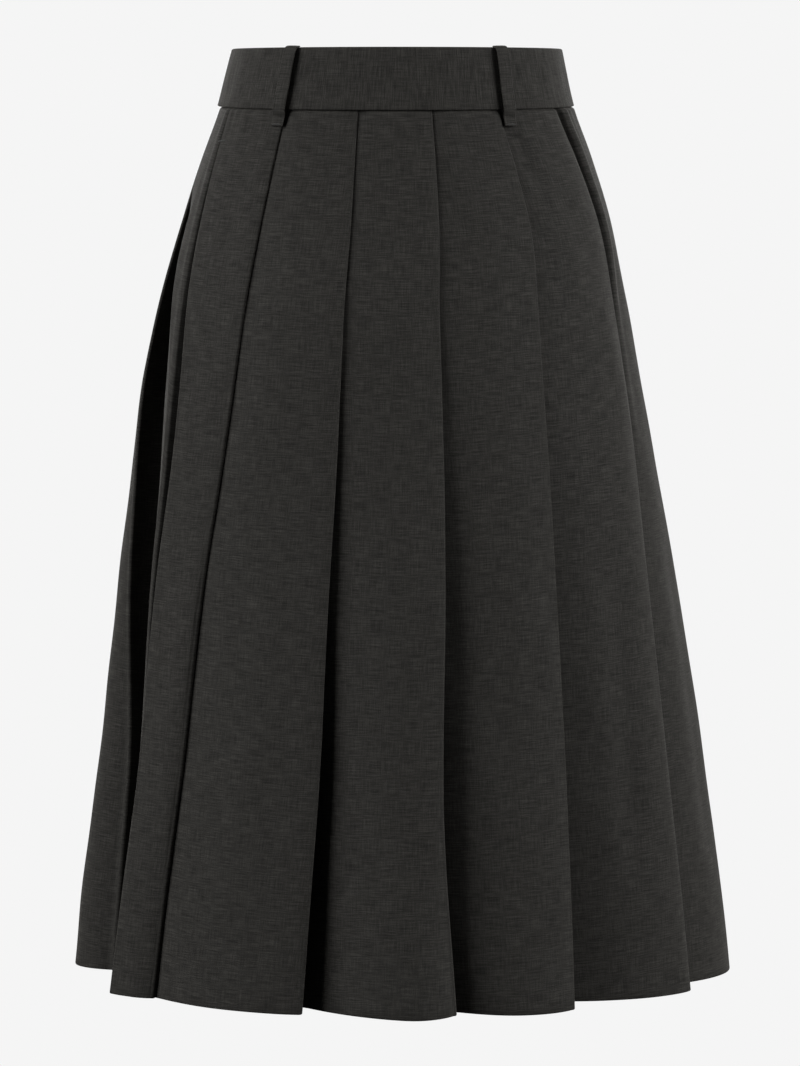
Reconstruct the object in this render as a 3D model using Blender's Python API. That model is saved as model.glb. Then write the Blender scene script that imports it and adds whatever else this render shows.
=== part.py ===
"""Pleated midi skirt with a straight waistband, belt loops and side pockets, standing open as it is worn.

Metres, +Z up, the front faces -Y. The origin is the centre of the waist, halfway up the waistband.
Angles go round the skirt from the centre front (0) towards +X (90) and the centre back (180).
"""

import collections
import math

import bmesh
import bpy
import numpy as np

# Driving dimensions
BAND_HEIGHT = 0.050
SKIRT_LENGTH = 0.770
BAND_TOP = BAND_HEIGHT / 2
BAND_BOTTOM = BAND_TOP - BAND_HEIGHT
HEM = BAND_TOP - SKIRT_LENGTH
SEAM_GAP = 0.0003
CLOTH = 0.0010
LAYER = 0.0017  # from the middle of one pleat layer to the next, at the waist
BAND_OUT = 0.0008  # outer and inner faces of the doubled band, from the body line
BAND_IN = -0.0022
BACK_DIP = 0.008  # the top edge of the band dips towards the centre back
MM = 0.001

# The body line: an oval at each height. height, half_width, half_depth_front, half_depth_back, middle
BODY = (
    (0.025, 0.1338, 0.0950, 0.0900, 0.0010),
    (-0.025, 0.1458, 0.1030, 0.1020, 0.0000),
    (-0.066, 0.1605, 0.1110, 0.1160, 0.0000),
    (-0.120, 0.1775, 0.1220, 0.1310, -0.0005),
    (-0.185, 0.1931, 0.1360, 0.1430, -0.0035),
    (-0.252, 0.2065, 0.1460, 0.1500, -0.0040),
    (-0.352, 0.2220, 0.1600, 0.1620, -0.0015),
    (-0.452, 0.2372, 0.1740, 0.1750, 0.0005),
    (-0.553, 0.2517, 0.1880, 0.1880, 0.0025),
    (-0.655, 0.2662, 0.2010, 0.2010, 0.0028),
    (-0.745, 0.2768, 0.2120, 0.2120, 0.0030),
)

# Heights that the fold table gives its columns for: waist, high hip, hip, thigh, calf, hem
LEVELS = (BAND_BOTTOM, -0.120, -0.250, -0.400, -0.580, HEM)

# A row for each pleat, in order round the skirt. Each fold edge points towards growing angles.
# edge: its angle at the six levels, in degrees. The rest is in mm.
# step: how far the next face starts behind the body line, at the five levels below the waist.
# stand: how far the edge stands out at the hem. curl: how far the face's last stretch curls in at
# thigh, calf and hem. bulge: of its face at the hem. under: the underlay at waist and hem.
Fold = collections.namedtuple("Fold", "name edge step stand curl bulge under")
FOLDS = (
    Fold("left_side", (-97, -95, -92, -88.5, -86, -84.7), (12, 28, 44, 56, 66), 4, (8, 29, 38), 0, (30, 34)),
    Fold("front_1", (-38.3, -38.8, -38.9, -43.4, -46.2, -49.2), (4, 4, 6, 10, 15), -9, (0, 0, 0), 0, (44, 21)),
    Fold("front_2", (-12.6, -12.2, -11.9, -13.9, -15.6, -17.4), (4, 6, 12, 23, 34), -6, (0, 0, 0), 0, (46, 36)),
    Fold("front_3", (11.1, 11.1, 11.1, 9.6, 7.5, 9.3), (4, 7, 13, 20, 26), 14, (0, 4, 22), 7, (46, 34)),
    Fold("front_4", (34.5, 37.8, 36.5, 34.2, 32.0, 30.9), (4, 6, 15, 30, 44), -5, (0, 0, 0), 9, (41, 38)),
    Fold("front_5", (63.2, 70.0, 69.0, 64.2, 60.9, 60.7), (5, 8, 14, 26, 38), -3, (0, 0, 0), 0, (40, 34)),
    Fold("back_1", (94.0, 96.0, 96.0, 94.5, 93.0, 92.0), (5, 8, 14, 22, 30), 2, (0, 2, 5), 4, (39, 34)),
    Fold("back_2", (121.0, 121.0, 120.4, 119.0, 118.6, 119.5), (4, 6, 12, 18, 24), -3, (0, 0, 0), 4, (37, 32)),
    Fold("back_3", (146.0, 145.6, 145.2, 144.6, 143.8, 143.0), (4, 7, 14, 27, 38), 3, (0, 3, 8), 6, (39, 36)),
    Fold("back_4", (170.0, 170.2, 170.0, 169.4, 168.4, 168.2), (4, 6, 11, 19, 27), -4, (0, 0, 0), 3, (42, 34)),
    Fold("back_5", (193.0, 192.8, 193.4, 194.0, 193.6, 192.6), (4, 7, 15, 25, 36), 2, (0, 0, 5), 7, (43, 36)),
    Fold("back_6", (216.0, 216.4, 216.8, 217.2, 217.0, 217.6), (4, 6, 12, 21, 28), -5, (0, 0, 0), 4, (39, 32)),
    Fold("back_7", (240.0, 240.2, 241.0, 242.0, 243.2, 243.4), (5, 9, 16, 26, 34), 0, (0, 2, 6), 5, (35, 34)),
)
SIDE_SEAM_FACE = 1  # the left side seam runs down this face
FRONT_SEAM_FOLD = 5  # the right side seam and the centre back seam lie under these folds
BACK_SEAM_FOLD = 9
BAND_SIDE_SEAM = 90  # degrees from the centre front to each side seam of the waistband

# The left side seam runs down a narrow groove between two ridges, in the face after the left_side fold.
# Its measures are given at the same six levels.
RIDGE_FRONT = (-66.2, -62.6, -55.6, -57.0, -56.7, -57.2)
RIDGE_BACK = (-69.5, -73.5, -61.3, -60.0, -58.6, -58.8)
GROOVE_DEEP = (2.0, 4.0, 6.0, 6.0, 4.0, 3.0)
GROOVE_FLAT = 0.0022

# Heights of the rows of each panel
ROWS = (BAND_BOTTOM - SEAM_GAP, -0.060, -0.100, -0.150, -0.205, -0.265, -0.345, -0.440, -0.545, -0.650, HEM)

# Belt loops: name, angle at the top, angle at the foot
LOOPS = (
    ("belt_loop_front_left", -38.8, -39.4),
    ("belt_loop_front_right", 38.1, 38.0),
    ("belt_loop_back_right", 139.0, 140.0),
    ("belt_loop_back_left", 221.0, 220.0),
)
LOOP_WIDTH = 0.0108
LOOP_CLOTH = 0.0014
LOOP_CLEAR = 0.0036
LOOP_FOOT = -0.0390

COLOURS = {"cloth": (0.030, 0.029, 0.027, 1.0)}


def clear_scene():
    for thing in list(bpy.data.objects):
        bpy.data.objects.remove(thing, do_unlink=True)


def suiting():
    material = bpy.data.materials.new("charcoal_suiting")
    material.use_nodes = True
    shader = material.node_tree.nodes["Principled BSDF"]
    shader.inputs["Base Color"].default_value = COLOURS["cloth"]
    shader.inputs["Roughness"].default_value = 0.85
    shader.inputs["Metallic"].default_value = 0.0
    return material


def between(z, heights, values):
    """The value at height z, on straight runs between the heights, which go down."""
    return float(np.interp(-z, [-h for h in heights], values))


def body_point(angle, z, out):
    """A point at this angle and height, out metres from the body line along its normal."""
    heights = [row[0] for row in BODY]
    wide = between(z, heights, [row[1] for row in BODY])
    front = between(z, heights, [row[2] for row in BODY])
    back = between(z, heights, [row[3] for row in BODY])
    middle = between(z, heights, [row[4] for row in BODY])
    turn = math.radians(angle)
    deep = front if math.cos(turn) > 0 else back
    x, y = wide * math.sin(turn), -deep * math.cos(turn)
    across, along = math.sin(turn) / wide, -math.cos(turn) / deep
    length = math.hypot(across, along)
    return middle + x + out * across / length, y + out * along / length


def degrees_for(length, angle, z):
    """The angle that a short length along the body line takes up at this place."""
    ahead = body_point(angle + 0.5, z, 0)
    behind = body_point(angle - 0.5, z, 0)
    return length / math.dist(ahead, behind)


def fold_at(index, z):
    """One pleat's measures at height z, in degrees and metres."""
    fold = FOLDS[index % len(FOLDS)]
    opened = between(z, (BAND_BOTTOM, HEM), (0.0, 1.0))
    edge = between(z, LEVELS, fold.edge) + 360.0 * (index // len(FOLDS))
    under = between(z, (BAND_BOTTOM, HEM), fold.under) * MM
    curl = between(z, LEVELS, (0, 0, 0) + fold.curl) * MM
    stand = between(z, LEVELS, (0, 0, 0, *(fold.stand * share for share in (0.2, 0.5, 1.0)))) * MM
    bulge = between(z, LEVELS, (0, 0, 0, *(fold.bulge * share for share in (0.3, 0.6, 1.0)))) * MM
    step = between(z, LEVELS, (2 * LAYER / MM, *fold.step)) * MM
    layer = LAYER * (1 + 1.6 * opened)
    return {
        "edge": edge,
        "under": degrees_for(under, edge, z),
        "stand": stand,
        "curl": curl,
        "step": max(step, curl - stand + layer + LAYER),
        "bulge": bulge,
        "layer": layer,
        "rise": between(z, LEVELS, (0.24, 0.42, 0.65, 0.8, 0.95, 1.0)),
        "valley": 0.012 * opened,
    }


def face_out(part, before, fold, rise, begin):
    """How far a face stands from the body line, at a part (0 to 1) of the way from fold to fold.

    It rises from behind the pleat before it, and is clear of that step at the part called rise.
    From the part called begin it leans out or in towards its own edge.
    """
    sunk = before["step"] * max(0.0, 1 - part / rise) ** 1.2
    curled = fold["curl"] * max(0.0, (part - 0.68) / 0.32) ** 2
    leant = fold["stand"] * max(0.0, (part - begin) / (1 - begin)) ** 2
    return leant + fold["bulge"] * math.sin(math.pi * part) - sunk - curled


def pleat_points(index, z):
    """The cloth's middle line for one pleat, as (angle, out): its face, its edge, its return, its valley."""
    before, fold = fold_at(index - 1, z), fold_at(index, z)
    start, edge = before["edge"], fold["edge"]
    wide = edge - start
    first = edge - fold["under"]
    hidden = []
    for part in (0.0, 0.5, 1.0):
        out = -before["step"] - (1 - part) * before["valley"]
        hidden.append((start - before["under"] * (1 - part), out))
    if index % len(FOLDS) == SIDE_SEAM_FACE:
        rise = begin = (between(z, LEVELS, RIDGE_FRONT) - start) / wide
        middle = side_seam_points(start, z, before, fold)
    else:
        rise, begin = before["rise"], 0.0
        parts = (min(rise, (first - start) / wide) * share for share in (0.5, 0.96))
        middle = [(start + wide * part, face_out(part, before, fold, rise, begin)) for part in parts]
    outer = []
    for share in (1.0, 0.5, 0.0):
        angle = edge - fold["under"] * share
        outer.append((angle, face_out((angle - start) / wide, before, fold, rise, begin)))
    top = outer[-1][1]
    nose = [(edge + degrees_for(0.5 * fold["layer"], edge, z), top - 0.5 * fold["layer"])]
    floor = -fold["step"] - fold["valley"] + fold["layer"]
    back = []
    for part in (1.0, 0.5, 0.0):
        out = floor + (top - fold["layer"] - floor) * part
        back.append((edge - fold["under"] * (1 - part), out))
    crease = edge - fold["under"] - degrees_for(0.5 * fold["layer"], edge, z)
    valley = [(crease, floor - 0.5 * fold["layer"])]
    return hidden + middle + outer, nose + back + valley


def side_seam_points(start, z, before, fold):
    """The back ridge, both sides of the seam in its groove, and the front ridge."""
    back, front = between(z, LEVELS, RIDGE_BACK), between(z, LEVELS, RIDGE_FRONT)
    deep = between(z, LEVELS, GROOVE_DEEP) * MM
    seam = 0.5 * (back + front)
    half = degrees_for(GROOVE_FLAT / 2, seam, z)
    points = [(start + 0.5 * (back - start), -0.5 * before["step"] - 0.004)]
    points += [(back, 0.0), (seam - half, -deep), (seam + half, -deep), (front, 0.001)]
    return points


def round_line(z):
    """The whole middle line at one height, with the names of the seams' places along it."""
    points, seams = [], {}
    for index in range(1, len(FOLDS) + 1):
        face, rest = pleat_points(index, z)
        if index == SIDE_SEAM_FACE:
            seams["left"] = len(points) + 5
        points += face
        if index in (FRONT_SEAM_FOLD, BACK_SEAM_FOLD):
            seams[index] = len(points) + 2
        points += rest
    return [body_point(angle, z, out) for angle, out in points], seams


def offset_line(line, distance):
    """The line moved sideways by a distance, its corners mitred. Each point is (x, y)."""
    line = np.asarray(line)
    ahead = np.diff(line, axis=0)
    ahead /= np.linalg.norm(ahead, axis=1)[:, None]
    before = np.vstack([ahead[:1], ahead])
    after = np.vstack([ahead, ahead[-1:]])
    normal = before + after
    normal /= np.linalg.norm(normal, axis=1)[:, None]
    square = np.maximum(0.62, np.einsum("ij,ij->i", normal, before))
    outwards = np.stack([normal[:, 1], -normal[:, 0]], axis=1)
    return line + outwards * (distance / square)[:, None]


def wall_object(name, lines, heights, outer, inner, material):
    """A closed wall between two offsets of a middle line given at each height, top first.

    heights holds one number for each row, or one array for each row.
    """
    mesh = bmesh.new()
    sides = []
    for distance in (outer, inner):
        grid = []
        for line, height in zip(lines, heights):
            moved = offset_line(line, distance)
            tall = np.broadcast_to(height, len(moved))
            grid.append([mesh.verts.new((x, y, z)) for (x, y), z in zip(moved, tall)])
        sides.append(grid)
    out, into = sides
    rows, columns = len(out), len(out[0])
    for row in range(rows - 1):
        for column in range(columns - 1):
            a, b = out[row][column], out[row][column + 1]
            c, d = out[row + 1][column + 1], out[row + 1][column]
            mesh.faces.new((a, d, c, b))
            a, b = into[row][column], into[row][column + 1]
            c, d = into[row + 1][column + 1], into[row + 1][column]
            mesh.faces.new((a, b, c, d))
    for column in range(columns - 1):
        top = (out[0][column], out[0][column + 1], into[0][column + 1], into[0][column])
        low = (out[-1][column], into[-1][column], into[-1][column + 1], out[-1][column + 1])
        mesh.faces.new(top)
        mesh.faces.new(low)
    for row in range(rows - 1):
        mesh.faces.new((out[row][0], into[row][0], into[row + 1][0], out[row + 1][0]))
        mesh.faces.new((out[row][-1], out[row + 1][-1], into[row + 1][-1], into[row][-1]))
    bmesh.ops.recalc_face_normals(mesh, faces=mesh.faces)
    return mesh_object(name, mesh, material)


def mesh_object(name, mesh, material):
    data = bpy.data.meshes.new(name)
    mesh.to_mesh(data)
    mesh.free()
    data.materials.append(material)
    data.shade_smooth()
    data.set_sharp_from_angle(angle=math.radians(35))
    thing = bpy.data.objects.new(name, data)
    bpy.context.scene.collection.objects.link(thing)
    return thing


def seam_cut(line, place):
    """The two points, half the seam gap to each side of the middle of the run that starts at place."""
    a, b = np.asarray(line[place]), np.asarray(line[place + 1])
    middle, ahead = (a + b) / 2, (b - a) / np.linalg.norm(b - a)
    return middle - ahead * SEAM_GAP / 2, middle + ahead * SEAM_GAP / 2


def skirt_panels(material):
    """The front from side seam to side seam, and the back in two halves joined under a pleat."""
    front, right, left = [], [], []
    for z in ROWS:
        line, seams = round_line(z)
        starts = [seams["left"], seams[FRONT_SEAM_FOLD], seams[BACK_SEAM_FOLD]]
        groove, side, back = [seam_cut(line, place) for place in starts]
        first, second, third = [place + 1 for place in starts]
        front.append([groove[1]] + line[first:second] + [side[0]])
        right.append([side[1]] + line[second:third] + [back[0]])
        left.append([back[1]] + line[third:] + line[:first] + [groove[0]])
    wall_object("skirt_front", front, ROWS, CLOTH / 2, -CLOTH / 2, material)
    wall_object("skirt_back_right", right, ROWS, CLOTH / 2, -CLOTH / 2, material)
    wall_object("skirt_back_left", left, ROWS, CLOTH / 2, -CLOTH / 2, material)


def band_piece(name, start, end, material):
    """A stretch of the doubled waistband between two angles."""
    count = max(8, round((end - start) / 8))
    square = 0.6  # a short first run squares the end to the body line
    angles = np.concatenate([[start], np.linspace(start + square, end - square, count), [end]])
    lines, heights = [], []
    for level in (1.0, 0.5, 0.0):
        z = BAND_BOTTOM + BAND_HEIGHT * level
        row = [body_point(angle, z, 0) for angle in angles]
        low, high = np.array(row[0]), np.array(row[-1])
        ahead = np.array(row[1]) - low
        behind = np.array(row[-2]) - high
        row[0] = tuple(low + ahead * (SEAM_GAP / 2 / np.linalg.norm(ahead)))
        row[-1] = tuple(high + behind * (SEAM_GAP / 2 / np.linalg.norm(behind)))
        lines.append(row)
        dip = BACK_DIP * level * (0.5 - 0.5 * np.cos(np.radians(angles)))
        heights.append(z - dip)
    wall_object(name, lines, heights, BAND_OUT, BAND_IN, material)


def band_top(angle):
    return BAND_TOP - BACK_DIP * (0.5 - 0.5 * math.cos(math.radians(angle)))


def loop_profile(angle):
    """The strap's outer face as (out, height): over the band's top edge, down clear of it, in to its foot."""
    top = band_top(angle)
    foot_out = CLOTH / 2 + SEAM_GAP
    run = BAND_OUT + LOOP_CLEAR
    lip = BAND_OUT - 0.0026
    outer = [
        (lip, top + SEAM_GAP + LOOP_CLOTH),
        (BAND_OUT + 0.0020, top + SEAM_GAP + LOOP_CLOTH),
        (run + 0.6 * LOOP_CLOTH, top - 0.0020),
        (run + LOOP_CLOTH, top - 0.0070),
        (run + LOOP_CLOTH, -0.0080),
        (run + LOOP_CLOTH, -0.0220),
        (run - 0.0006, -0.0292),
        (foot_out + LOOP_CLOTH, -0.0330),
        (foot_out + LOOP_CLOTH, LOOP_FOOT),
    ]
    inner = [
        (lip, top + SEAM_GAP),
        (BAND_OUT + 0.0014, top + SEAM_GAP),
        (run - 0.0009, top - 0.0026),
        (run, top - 0.0074),
        (run, -0.0080),
        (run, -0.0216),
        (run - 0.0017, -0.0284),
        (foot_out, -0.0322),
        (foot_out, LOOP_FOOT),
    ]
    return outer, inner


def belt_loop(name, top_angle, foot_angle, material):
    """A sewn strap across the band: two edges of its profile, half a width to each side."""
    outer, inner = loop_profile(top_angle)
    mesh = bmesh.new()
    grid = []
    for profile in (outer, inner):
        edges = []
        for out, z in profile:
            angle = np.interp(-z, [-BAND_TOP, -LOOP_FOOT], [top_angle, foot_angle])
            middle = np.array(body_point(angle, z, out))
            ahead = np.array(body_point(angle + 0.5, z, out)) - np.array(body_point(angle - 0.5, z, out))
            ahead *= LOOP_WIDTH / 2 / np.linalg.norm(ahead)
            edges.append([mesh.verts.new((*(middle + side * ahead), z)) for side in (-1, 1)])
        grid.append(edges)
    out, into = grid
    for a, b, c, d in zip(out, out[1:], into, into[1:]):
        mesh.faces.new((a[0], a[1], b[1], b[0]))
        mesh.faces.new((c[0], d[0], d[1], c[1]))
        mesh.faces.new((a[0], b[0], d[0], c[0]))
        mesh.faces.new((a[1], c[1], d[1], b[1]))
    mesh.faces.new((out[0][0], into[0][0], into[0][1], out[0][1]))
    mesh.faces.new((out[-1][0], out[-1][1], into[-1][1], into[-1][0]))
    bmesh.ops.recalc_face_normals(mesh, faces=mesh.faces)
    return mesh_object(name, mesh, material)


def main():
    clear_scene()
    cloth = suiting()
    skirt_panels(cloth)
    back = FOLDS[BACK_SEAM_FOLD].edge[0]
    band_piece("waistband_front", -BAND_SIDE_SEAM, BAND_SIDE_SEAM, cloth)
    band_piece("waistband_back_right", BAND_SIDE_SEAM, back, cloth)
    band_piece("waistband_back_left", back, 360 - BAND_SIDE_SEAM, cloth)
    for name, top_angle, foot_angle in LOOPS:
        belt_loop(name, top_angle, foot_angle, cloth)


main()
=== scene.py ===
# %% [markdown]
# # A pleated midi skirt in charcoal suiting
#
# The real skirt is three panels of wool suiting, pleated into a straight 50 mm waistband with four belt
# loops and a pocket in each side seam. It stands open, as it is when worn. This lesson builds its cloth as
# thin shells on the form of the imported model: every panel is one surface of two parameters, one going
# round the body through all the pleats and one going down to the hem.

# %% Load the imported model
import collections
import math

import bpy
import numpy as np
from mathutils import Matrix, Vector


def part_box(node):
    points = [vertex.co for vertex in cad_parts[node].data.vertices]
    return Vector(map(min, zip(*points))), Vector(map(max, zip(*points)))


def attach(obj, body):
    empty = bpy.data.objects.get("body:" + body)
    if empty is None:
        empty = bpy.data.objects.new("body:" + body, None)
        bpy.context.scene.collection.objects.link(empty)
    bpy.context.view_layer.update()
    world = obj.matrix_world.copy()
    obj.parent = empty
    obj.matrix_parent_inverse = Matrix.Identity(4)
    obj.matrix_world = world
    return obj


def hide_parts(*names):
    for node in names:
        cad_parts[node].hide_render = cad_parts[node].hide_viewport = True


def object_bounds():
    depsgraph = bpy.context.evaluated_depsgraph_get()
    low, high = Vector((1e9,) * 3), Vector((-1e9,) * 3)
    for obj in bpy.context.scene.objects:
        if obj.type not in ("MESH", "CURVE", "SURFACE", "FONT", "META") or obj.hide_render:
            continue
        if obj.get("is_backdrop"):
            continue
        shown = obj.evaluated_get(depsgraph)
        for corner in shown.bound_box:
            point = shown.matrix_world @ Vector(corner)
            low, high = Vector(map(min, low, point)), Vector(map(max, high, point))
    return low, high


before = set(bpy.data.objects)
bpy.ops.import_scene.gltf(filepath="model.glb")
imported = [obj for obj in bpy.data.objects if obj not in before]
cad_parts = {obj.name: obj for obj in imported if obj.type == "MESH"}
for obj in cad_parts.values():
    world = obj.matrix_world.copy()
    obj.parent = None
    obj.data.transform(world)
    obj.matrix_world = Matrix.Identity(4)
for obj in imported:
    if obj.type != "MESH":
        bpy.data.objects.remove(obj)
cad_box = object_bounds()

MM = 0.001
print("packed model:", [[round(value, 4) for value in corner] for corner in cad_box])

# %% [markdown]
# ## The camera
#
# A long lens a little above the waist looks slightly down at the skirt, so that the hem curves and the
# waistband stays nearly straight. The camera comes first, because it frames everything after it.

# %% Camera
CAMERA_AT = (0.0, -4.25, 0.12)
CAMERA_TILT = 6.7  # degrees below level
LENS = 173.9
SIDE_SHIFT = 0.0039

camera_data = bpy.data.cameras.new("camera")
camera_data.lens = LENS
camera_data.sensor_width = 36.0
camera_data.shift_x = SIDE_SHIFT
camera = bpy.data.objects.new("camera", camera_data)
camera.location = CAMERA_AT
camera.rotation_euler = (math.radians(90 - CAMERA_TILT), 0.0, 0.0)
bpy.context.scene.collection.objects.link(camera)
bpy.context.scene.camera = camera
bpy.context.scene.view_settings.view_transform = "Standard"
print("camera", CAMERA_AT, "lens", LENS)

# %% [markdown]
# ## The skirt's measures
#
# A pleated skirt is cut from flat panels and folded. It could be draped by simulation, but pressed pleats
# keep their folds, so here they are drawn from tables. The body line is an oval at each height. Each pleat
# is a row: where its folded edge runs, how far the next face starts behind it, and how the edge stands or
# curls at the hem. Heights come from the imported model.

# %% Heights and thicknesses
BAND_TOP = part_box("waistband_front")[1].z
BAND_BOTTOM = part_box("waistband_front")[0].z
PANEL_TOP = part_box("skirt_front")[1].z
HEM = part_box("skirt_front")[0].z
CLOTH = 0.0009
LAYER = 0.0017  # from the middle of one pleat layer to the next, at the waist
BACK_DIP = 0.008  # the top edge of the band dips towards the centre back
HEM_TURN = 0.038  # depth of the turned hem
HEM_LIFT = 0.0015  # from the outer layer of the hem to the inner one

# height, half_width, half_depth_front, half_depth_back, middle
BODY = (
    (0.025, 0.1338, 0.0950, 0.0900, 0.0010),
    (-0.025, 0.1458, 0.1030, 0.1020, 0.0000),
    (-0.066, 0.1605, 0.1110, 0.1160, 0.0000),
    (-0.120, 0.1775, 0.1220, 0.1310, -0.0005),
    (-0.185, 0.1931, 0.1360, 0.1430, -0.0035),
    (-0.252, 0.2065, 0.1460, 0.1500, -0.0040),
    (-0.352, 0.2220, 0.1600, 0.1620, -0.0015),
    (-0.452, 0.2372, 0.1740, 0.1750, 0.0005),
    (-0.553, 0.2517, 0.1880, 0.1880, 0.0025),
    (-0.655, 0.2662, 0.2010, 0.2010, 0.0028),
    (-0.745, 0.2768, 0.2120, 0.2120, 0.0030),
)
LEVELS = (-0.025, -0.120, -0.250, -0.400, -0.580, -0.745)  # waist, high hip, hip, thigh, calf, hem
print("waistband", BAND_BOTTOM, "to", BAND_TOP, "and hem", HEM)

# %% The pleats
# edge: angle of the folded edge at the six levels, in degrees from the centre front. The rest is in mm.
# step: how far the next face starts behind the body line, at the five levels below the waist.
# stand: how far the edge stands out at the hem. curl: how far the face's last stretch curls in at thigh,
# calf and hem. bulge: of its face at the hem. under: the underlay at waist and hem.
Fold = collections.namedtuple("Fold", "name edge step stand curl bulge under")
FOLDS = tuple(Fold(*row) for row in (
    ("left_side", (-97, -95, -92, -88.5, -86, -84.7), (12, 28, 44, 56, 66), 4, (8, 29, 38), 0, (30, 34)),
    ("front_1", (-38.3, -38.8, -38.9, -43.4, -46.2, -49.2), (4, 4, 6, 10, 15), -9, (0, 0, 0), 0, (44, 21)),
    ("front_2", (-12.6, -12.2, -11.9, -13.9, -15.6, -17.4), (4, 6, 12, 23, 34), -6, (0, 0, 0), 0, (46, 36)),
    ("front_3", (11.1, 11.1, 11.1, 9.6, 7.5, 9.3), (4, 7, 13, 20, 26), 14, (0, 4, 22), 7, (46, 34)),
    ("front_4", (34.5, 37.8, 36.5, 34.2, 32.0, 30.9), (4, 6, 15, 30, 44), -5, (0, 0, 0), 9, (41, 38)),
    ("front_5", (63.2, 70.0, 69.0, 64.2, 60.9, 60.7), (5, 8, 14, 26, 38), -3, (0, 0, 0), 0, (40, 34)),
    ("back_1", (94.0, 96.0, 96.0, 94.5, 93.0, 92.0), (5, 8, 14, 22, 30), 2, (0, 2, 5), 4, (39, 34)),
    ("back_2", (121.0, 121.0, 120.4, 119.0, 118.6, 119.5), (4, 6, 12, 18, 24), -3, (0, 0, 0), 4, (37, 32)),
    ("back_3", (146.0, 145.6, 145.2, 144.6, 143.8, 143.0), (4, 7, 14, 27, 38), 3, (0, 3, 8), 6, (39, 36)),
    ("back_4", (170.0, 170.2, 170.0, 169.4, 168.4, 168.2), (4, 6, 11, 19, 27), -4, (0, 0, 0), 3, (42, 34)),
    ("back_5", (193.0, 192.8, 193.4, 194.0, 193.6, 192.6), (4, 7, 15, 25, 36), 2, (0, 0, 5), 7, (43, 36)),
    ("back_6", (216.0, 216.4, 216.8, 217.2, 217.0, 217.6), (4, 6, 12, 21, 28), -5, (0, 0, 0), 4, (39, 32)),
    ("back_7", (240.0, 240.2, 241.0, 242.0, 243.2, 243.4), (5, 9, 16, 26, 34), 0, (0, 2, 6), 5, (35, 34)),
))

# How the pleats grow on their way down: shares of the row's hem value at the six levels
STAND_SHARE = (0, 0, 0, 0.2, 0.5, 1.0)
BULGE_SHARE = (0, 0, 0, 0.3, 0.6, 1.0)
RISE = (0.24, 0.42, 0.65, 0.8, 0.95, 1.0)  # share of a face over which it comes up from behind the pleat
LAYER_GROWTH = 1.6
VALLEY_DROP = 0.012
CURL_START = 0.68  # share of the way across a face

FRONT_SEAM_FOLD = 5  # the right side seam and the centre back seam lie under these folds
BACK_SEAM_FOLD = 9

# The left side seam: the front panel's turned edge and the back's ridge, in degrees at the six levels, and
# the groove between them, in mm.
RIDGE_FRONT = (-66.2, -62.6, -55.6, -57.0, -56.7, -58.4)
RIDGE_BACK = (-69.5, -73.5, -61.3, -60.0, -58.6, -60.0)
GROOVE_DEEP = (2, 4, 6, 6, 4, 3)
print(len(FOLDS), "pleats")

# %% [markdown]
# ## Smooth tables and the body line
#
# Straight runs between the rows of a table would show as bands across the cloth. A cubic curve through the
# same rows has no corners, and it is worked out for a whole array of heights at once.


# %% Helpers for heights and places
def smooth(z, heights, values):
    """The table's value at each height z, on a cubic curve through its rows.

    With t the share of the way from one row to the next and d their distance, the value is
    (1+2t)(1-t)^2 v0 + t(1-t)^2 d m0 + t^2(3-2t) v1 + t^2(t-1) d m1, where each slope m is the mean of the
    slopes on both sides of its row, weighted by the other side's length.
    """
    down, value = -np.asarray(heights, float), np.asarray(values, float)
    gap = np.diff(down)
    rise = np.diff(value) / gap
    inner = (rise[:-1] * gap[1:] + rise[1:] * gap[:-1]) / (gap[:-1] + gap[1:])
    slope = np.concatenate([rise[:1], inner, rise[-1:]])
    at = np.clip(-np.asarray(z, float), down[0], down[-1])
    row = np.clip(np.searchsorted(down, at, side="right") - 1, 0, len(gap) - 1)
    t, d = (at - down[row]) / gap[row], gap[row]
    start = (1 + 2 * t) * (1 - t) ** 2 * value[row] + t * (1 - t) ** 2 * d * slope[row]
    end = t**2 * (3 - 2 * t) * value[row + 1] + t**2 * (t - 1) * d * slope[row + 1]
    return start + end


def smooth_step(t):
    """t^2 (3-2t), which goes from 0 to 1 with no corner at either end."""
    return t**2 * (3 - 2 * t)


def body_sizes(angle, z):
    """Half the width, the half depth on this angle's side, and the middle of the oval at height z."""
    heights = [row[0] for row in BODY]
    wide, front, back, middle = (smooth(z, heights, [row[i] for row in BODY]) for i in range(1, 5))
    return wide, np.where(np.cos(np.radians(angle)) > 0, front, back), middle


def on_body(angle, z, out):
    """Points at an angle and height, moved out along the oval's normal (sin a / wide, -cos a / deep)."""
    angle, z, out = np.broadcast_arrays(angle, z, out)
    wide, deep, middle = body_sizes(angle, z)
    turn = np.radians(angle)
    across, along = np.sin(turn) / wide, -np.cos(turn) / deep
    length = np.hypot(across, along)
    x = middle + wide * np.sin(turn) + out * across / length
    y = -deep * np.cos(turn) + out * along / length
    return np.stack([x, y, z], axis=-1)


def degrees(length, angle, z):
    """The angle that a short length takes up on the oval: length / |d point / d angle|."""
    wide, deep, _ = body_sizes(angle, z)
    turn = np.radians(angle)
    return length / (np.hypot(wide * np.cos(turn), deep * np.sin(turn)) * math.pi / 180)


print("half width at the hem", round(float(body_sizes(90.0, HEM)[0]), 4))

# %% [markdown]
# ## One pleat
#
# Seen from above, a knife pleat is a face, a tight roll at its folded edge, a return that runs back
# underneath, a roll the other way and a hidden underlay that comes up as the next face. Each run is a
# function of the height (down the array) and of a share from 0 to 1 along the run (across the array), so
# one pleat is a handful of arrays laid side by side.


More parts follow.
